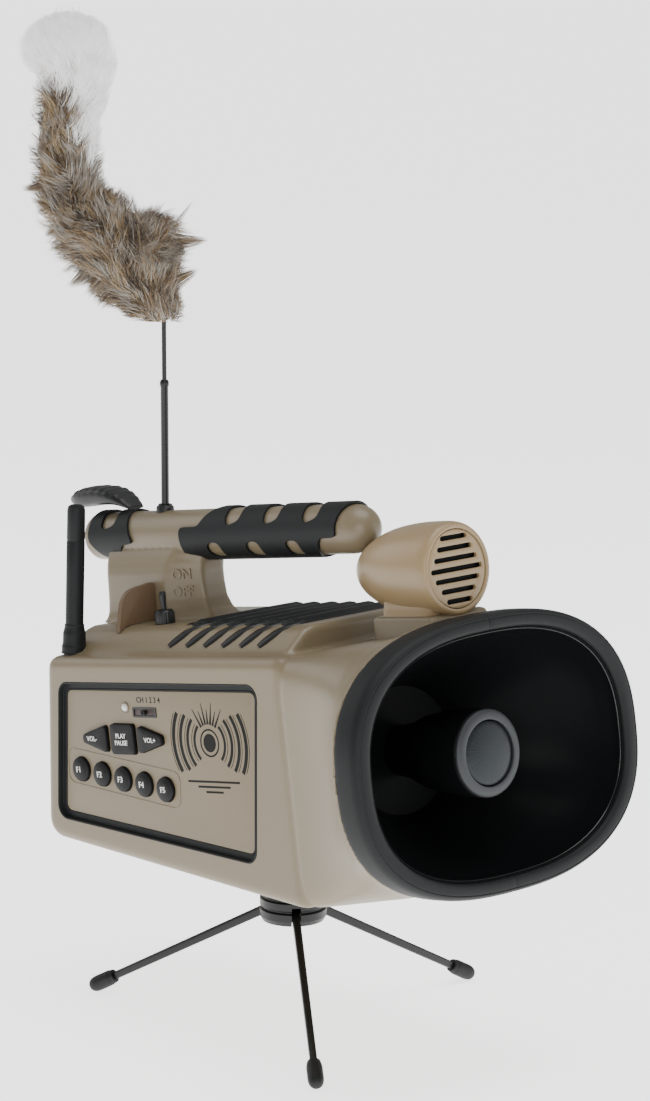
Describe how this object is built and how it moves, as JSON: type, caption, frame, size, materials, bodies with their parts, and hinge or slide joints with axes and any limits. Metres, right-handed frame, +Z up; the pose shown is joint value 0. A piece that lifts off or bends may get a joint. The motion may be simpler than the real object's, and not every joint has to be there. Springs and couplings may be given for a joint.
{
  "type": "electronic game caller",
  "caption": "Battery game caller with an oval horn speaker, bullet tweeter, side keypad, rubber-gripped carrying handle, whip antenna, spinning fur decoy and folding mini tripod.",
  "frame": {"origin": "on the ground under the middle of the object's box", "axes": "+Z up, the horn faces -Y, the control panel faces -X"},
  "size_m": [0.2624, 0.402, 0.63],
  "materials": {
    "tan_shell": "satin moulded",
    "warm_tan_shell": "satin moulded",
    "brown_guard": "satin moulded",
    "soft_rubber": "matt",
    "foot_rubber": "matt",
    "black_gloss": "polished",
    "dark_metal": "satin",
    "magnet_iron": "plain",
    "black_plastic": "satin",
    "clear_lens": "clear",
    "black_metal": "semi-gloss",
    "bright_steel": "turned",
    "brass_insert": "turned",
    "battery_wrap": "wrapped",
    "board_laminate": "laminate",
    "fur": "long pile"
  },
  "bodies": {
    "caller": {"housing": "tan_shell", "top_deck": "tan_shell", "vent_ribs": "soft_rubber", "horn_flare": "tan_shell", "bezel_left": "soft_rubber", "bezel_right": "soft_rubber", "horn_bell": "black_gloss", "horn_bullet": "black_gloss", "driver_ring": "dark_metal", "driver_cap": "dark_metal", "driver_magnet": "magnet_iron", "tweeter_shell": "warm_tan_shell", "tweeter_grille": "warm_tan_shell", "tweeter_driver": "magnet_iron", "tweeter_pedestal": "tan_shell", "panel_gasket": "soft_rubber", "control_panel": "tan_shell", "channel_switch_frame": "black_plastic", "status_led": "clear_lens", "handle": "tan_shell", "grip_front": "soft_rubber", "grip_rear": "soft_rubber", "handle_end_cap": "tan_shell", "switch_guard": "brown_guard", "toggle_nut": "black_plastic", "decoy_motor": "magnet_iron", "decoy_socket": "black_plastic", "antenna_base": "soft_rubber", "antenna_mast": "soft_rubber", "tripod_hub": "black_plastic", "tripod_stud": "bright_steel", "tripod_boss": "brass_insert", "leg_pins": "bright_steel", "battery_door": "tan_shell", "door_screws": "dark_metal", "accessory_jacks": "black_plastic", "battery_pack": "battery_wrap", "circuit_board": "board_laminate"},
    "decoy_lower": {"rod_lower": "black_metal"},
    "decoy_upper": {"rod_upper": "black_metal", "fur_tail": "fur"},
    "power_toggle": {"toggle_lever": "black_plastic"},
    "socket_flap": {"socket_cover": "soft_rubber"},
    "channel_knob": {"channel_slider": "black_plastic"},
    "volume_down_button_key": {"volume_down_button": "soft_rubber"},
    "play_pause_button_key": {"play_pause_button": "soft_rubber"},
    "volume_up_button_key": {"volume_up_button": "soft_rubber"},
    "function_button_1_key": {"function_button_1": "soft_rubber"},
    "function_button_2_key": {"function_button_2": "soft_rubber"},
    "function_button_3_key": {"function_button_3": "soft_rubber"},
    "function_button_4_key": {"function_button_4": "soft_rubber"},
    "function_button_5_key": {"function_button_5": "soft_rubber"},
    "tripod_leg_1": {"leg_1": "black_metal", "foot_1": "foot_rubber"},
    "tripod_leg_2": {"leg_2": "black_metal", "foot_2": "foot_rubber"},
    "tripod_leg_3": {"leg_3": "black_metal", "foot_3": "foot_rubber"}
  },
  "joints": [
    {"name": "volume_down_button_press", "type": "slide", "parent": "caller", "child": "volume_down_button_key", "axis": [1, 0, 0], "range_m": [0, 0.001], "stiffness_N_per_m": 300},
    {"name": "play_pause_button_press", "type": "slide", "parent": "caller", "child": "play_pause_button_key", "axis": [1, 0, 0], "range_m": [0, 0.001], "stiffness_N_per_m": 300},
    {"name": "volume_up_button_press", "type": "slide", "parent": "caller", "child": "volume_up_button_key", "axis": [1, 0, 0], "range_m": [0, 0.001], "stiffness_N_per_m": 300},
    {"name": "function_button_1_press", "type": "slide", "parent": "caller", "child": "function_button_1_key", "axis": [1, 0, 0], "range_m": [0, 0.001], "stiffness_N_per_m": 300},
    {"name": "function_button_2_press", "type": "slide", "parent": "caller", "child": "function_button_2_key", "axis": [1, 0, 0], "range_m": [0, 0.001], "stiffness_N_per_m": 300},
    {"name": "function_button_3_press", "type": "slide", "parent": "caller", "child": "function_button_3_key", "axis": [1, 0, 0], "range_m": [0, 0.001], "stiffness_N_per_m": 300},
    {"name": "function_button_4_press", "type": "slide", "parent": "caller", "child": "function_button_4_key", "axis": [1, 0, 0], "range_m": [0, 0.001], "stiffness_N_per_m": 300},
    {"name": "function_button_5_press", "type": "slide", "parent": "caller", "child": "function_button_5_key", "axis": [1, 0, 0], "range_m": [0, 0.001], "stiffness_N_per_m": 300},
    {"name": "channel_slide", "type": "slide", "parent": "caller", "child": "channel_knob", "axis": [0, 0.9877, -0.1564], "range_m": [-0.0065, 0.0065]},
    {"name": "power_toggle_flip", "type": "hinge", "parent": "caller", "child": "power_toggle", "pos_m": [-0.0467, 0.0751, 0.25116], "axis": [1, 0, 0], "range_deg": [-10, 10]},
    {"name": "socket_cover_lift", "type": "hinge", "parent": "caller", "child": "socket_flap", "pos_m": [-0.0117, 0.14374, 0.30741], "axis": [1, 0, 0], "range_deg": [0, 40]},
    {"name": "decoy_spin", "type": "hinge", "parent": "caller", "child": "decoy_lower", "pos_m": [-0.0117, 0.1145, 0.3], "axis": [0, 0, 1], "continuous": true},
    {"name": "decoy_telescope", "type": "slide", "parent": "decoy_lower", "child": "decoy_upper", "axis": [0, 0, 1], "range_m": [-0.035, 0.03]},
    {"name": "leg_1_fold", "type": "hinge", "parent": "caller", "child": "tripod_leg_1", "pos_m": [-0.02073, -0.01748, 0.0715], "axis": [0.7986, -0.6018, 0], "range_deg": [0, 58]},
    {"name": "leg_2_fold", "type": "hinge", "parent": "caller", "child": "tripod_leg_2", "pos_m": [0.00319, -0.00733, 0.0715], "axis": [0.1219, 0.9925, 0], "range_deg": [0, 58]},
    {"name": "leg_3_fold", "type": "hinge", "parent": "caller", "child": "tripod_leg_3", "pos_m": [-0.01756, 0.00831, 0.0715], "axis": [-0.9205, -0.3907, 0], "range_deg": [0, 58]}
  ]
}
